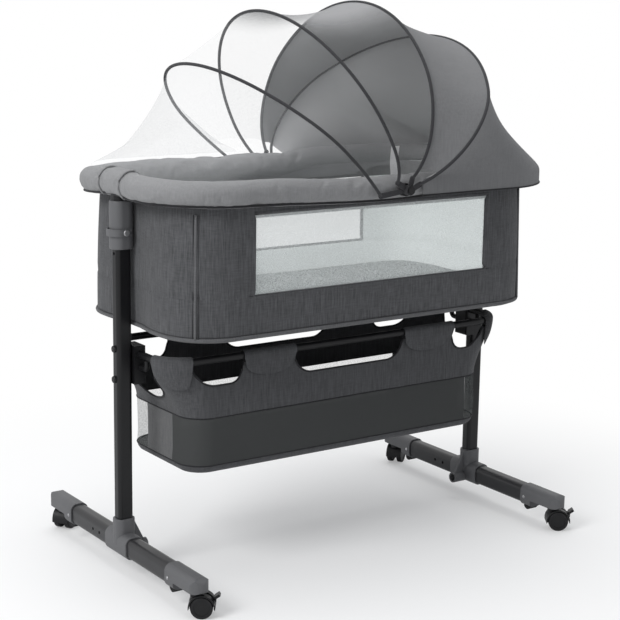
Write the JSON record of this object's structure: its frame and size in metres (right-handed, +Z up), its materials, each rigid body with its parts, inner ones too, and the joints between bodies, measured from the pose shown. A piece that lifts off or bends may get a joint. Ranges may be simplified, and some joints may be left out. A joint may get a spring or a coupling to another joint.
{
  "type": "bedside bassinet",
  "caption": "Bedside bassinet with a padded fabric tub, a folding hoop canopy with net, a sling basket and a castored stand with a height lock.",
  "frame": {"origin": "on the floor, midway between the two legs", "axes": "+X along the bed towards the canopy's folded side, +Y to the rear side, +Z up"},
  "size_m": [0.907, 0.62, 1.0511],
  "materials": {
    "leg_steel": "satin black paint",
    "foot_steel": "satin dark grey paint",
    "grey_plastic": "fine moulded texture",
    "collar_plastic": "fine moulded texture",
    "black_plastic": "moulded",
    "wheel_rubber": "moulded tread and disc",
    "pad_rubber": "matt",
    "fastener": "zinc plated",
    "frame_steel": "satin black paint",
    "basket_linen": "heathered linen weave",
    "dark_mesh": "sheer mesh",
    "board": "covered fibreboard",
    "rim_cloth": "plain weave over padding",
    "tub_linen": "heathered linen weave",
    "pale_mesh": "open mesh",
    "mattress_cloth": "plain weave",
    "webbing": "woven tape",
    "hoop_binding": "bound seam over a spring wire",
    "canopy_cloth": "plain weave",
    "net": "fine sheer net"
  },
  "bodies": {
    "stand": {"foot_tube_left": "foot_steel", "foot_tube_right": "foot_steel", "tee_left": "grey_plastic", "tee_right": "grey_plastic", "leg_left": "leg_steel", "leg_right": "leg_steel", "collar_left": "collar_plastic", "collar_right": "collar_plastic", "leg_bracket_left": "black_plastic", "leg_bracket_right": "black_plastic", "end_cap_front_left": "grey_plastic", "end_cap_rear_left": "grey_plastic", "end_cap_front_right": "grey_plastic", "end_cap_rear_right": "grey_plastic", "foot_pads": "pad_rubber", "band_screws": "fastener", "cross_frame": "frame_steel", "frame_braces": "frame_steel", "frame_bolts": "fastener", "basket_fabric": "basket_linen", "basket_nets": "dark_mesh", "basket_board": "board", "basket_tabs": "basket_linen"},
    "bed": {"post_left": "leg_steel", "post_right": "leg_steel", "rail_tube": "frame_steel", "rim_pad": "rim_cloth", "tub_shell": "tub_linen", "window_net_front": "pale_mesh", "window_net_rear": "pale_mesh", "floor_board": "board", "mattress": "mattress_cloth", "canopy_hubs": "black_plastic", "hub_pins": "fastener", "net_tie": "webbing", "canopy_rear": "canopy_cloth"},
    "hoop_d": {"hoop_d": "hoop_binding", "canopy_front": "canopy_cloth"},
    "hoop_c": {"hoop_c": "hoop_binding", "net_rear": "net"},
    "hoop_b": {"hoop_b": "hoop_binding", "net_middle": "net"},
    "hoop_a": {"hoop_a": "hoop_binding", "net_front": "net"},
    "lock_left": {"lock_band_left": "collar_plastic"},
    "lock_right": {"lock_band_right": "collar_plastic"},
    "castor_front_left": {"castor_hood_front_left": "black_plastic"},
    "wheels_front_left": {"castor_wheels_front_left": "wheel_rubber"},
    "brake_front_left": {"brake_lever_front_left": "black_plastic"},
    "castor_rear_left": {"castor_hood_rear_left": "black_plastic"},
    "wheels_rear_left": {"castor_wheels_rear_left": "wheel_rubber"},
    "brake_rear_left": {"brake_lever_rear_left": "black_plastic"},
    "castor_front_right": {"castor_hood_front_right": "black_plastic"},
    "wheels_front_right": {"castor_wheels_front_right": "wheel_rubber"},
    "brake_front_right": {"brake_lever_front_right": "black_plastic"},
    "castor_rear_right": {"castor_hood_rear_right": "black_plastic"},
    "wheels_rear_right": {"castor_wheels_rear_right": "wheel_rubber"},
    "brake_rear_right": {"brake_lever_rear_right": "black_plastic"}
  },
  "joints": [
    {"name": "bed_lift", "type": "slide", "parent": "stand", "child": "bed", "axis": [0, 0, 1], "range_m": [0, 0.12]},
    {"name": "lock_pull_left", "type": "slide", "parent": "stand", "child": "lock_left", "axis": [-1, 0, 0], "range_m": [0, 0.007], "stiffness_N_per_m": 300, "springref_m": -0.005},
    {"name": "lock_pull_right", "type": "slide", "parent": "stand", "child": "lock_right", "axis": [1, 0, 0], "range_m": [0, 0.007], "stiffness_N_per_m": 300, "springref_m": -0.005},
    {"name": "swivel_front_left", "type": "hinge", "parent": "stand", "child": "castor_front_left", "pos_m": [-0.42, -0.262, 0.04], "axis": [0, 0, 1], "continuous": true},
    {"name": "roll_front_left", "type": "hinge", "parent": "castor_front_left", "child": "wheels_front_left", "pos_m": [-0.41017, -0.26888, 0.02], "axis": [0.5736, 0.8192, 0], "continuous": true},
    {"name": "brake_front_left_tip", "type": "hinge", "parent": "castor_front_left", "child": "brake_front_left", "pos_m": [-0.39272, -0.2811, 0.03091], "axis": [0.5736, 0.8192, 0], "range_deg": [0, 20]},
    {"name": "swivel_rear_left", "type": "hinge", "parent": "stand", "child": "castor_rear_left", "pos_m": [-0.42, 0.262, 0.04], "axis": [0, 0, 1], "continuous": true},
    {"name": "roll_rear_left", "type": "hinge", "parent": "castor_rear_left", "child": "wheels_rear_left", "pos_m": [-0.41017, 0.26888, 0.02], "axis": [-0.5736, 0.8192, 0], "continuous": true},
    {"name": "brake_rear_left_tip", "type": "hinge", "parent": "castor_rear_left", "child": "brake_rear_left", "pos_m": [-0.39272, 0.2811, 0.03091], "axis": [-0.5736, 0.8192, 0], "range_deg": [0, 20]},
    {"name": "swivel_front_right", "type": "hinge", "parent": "stand", "child": "castor_front_right", "pos_m": [0.42, -0.262, 0.04], "axis": [0, 0, 1], "continuous": true},
    {"name": "roll_front_right", "type": "hinge", "parent": "castor_front_right", "child": "wheels_front_right", "pos_m": [0.42983, -0.26888, 0.02], "axis": [0.5736, 0.8192, 0], "continuous": true},
    {"name": "brake_front_right_tip", "type": "hinge", "parent": "castor_front_right", "child": "brake_front_right", "pos_m": [0.44728, -0.2811, 0.03091], "axis": [0.5736, 0.8192, 0], "range_deg": [0, 20]},
    {"name": "swivel_rear_right", "type": "hinge", "parent": "stand", "child": "castor_rear_right", "pos_m": [0.42, 0.262, 0.04], "axis": [0, 0, 1], "continuous": true},
    {"name": "roll_rear_right", "type": "hinge", "parent": "castor_rear_right", "child": "wheels_rear_right", "pos_m": [0.42983, 0.26888, 0.02], "axis": [-0.5736, 0.8192, 0], "continuous": true},
    {"name": "brake_rear_right_tip", "type": "hinge", "parent": "castor_rear_right", "child": "brake_rear_right", "pos_m": [0.44728, 0.2811, 0.03091], "axis": [-0.5736, 0.8192, 0], "range_deg": [0, 20]},
    {"name": "fold_d", "type": "hinge", "parent": "bed", "child": "hoop_d", "pos_m": [0.042, 0, 0.716], "axis": [0, 1, 0], "range_deg": [0, 38.5], "deforming": ["canopy_rear"]},
    {"name": "fold_c", "type": "hinge", "parent": "hoop_d", "child": "hoop_c", "pos_m": [0.042, 0, 0.716], "axis": [0, 1, 0], "range_deg": [0, 23.3], "deforming": ["canopy_front"]},
    {"name": "fold_b", "type": "hinge", "parent": "hoop_c", "child": "hoop_b", "pos_m": [0.042, 0, 0.716], "axis": [0, 1, 0], "range_deg": [0, 26.3], "deforming": ["net_rear"]},
    {"name": "fold_a", "type": "hinge", "parent": "hoop_b", "child": "hoop_a", "pos_m": [0.042, 0, 0.716], "axis": [0, 1, 0], "range_deg": [0, 14.3], "deforming": ["net_middle", "net_front"]}
  ],
  "couplings": [
    {"joint": "fold_c", "follows": "fold_d", "ratio": 0.605},
    {"joint": "fold_b", "follows": "fold_d", "ratio": 0.683},
    {"joint": "fold_a", "follows": "fold_d", "ratio": 0.371}
  ]
}
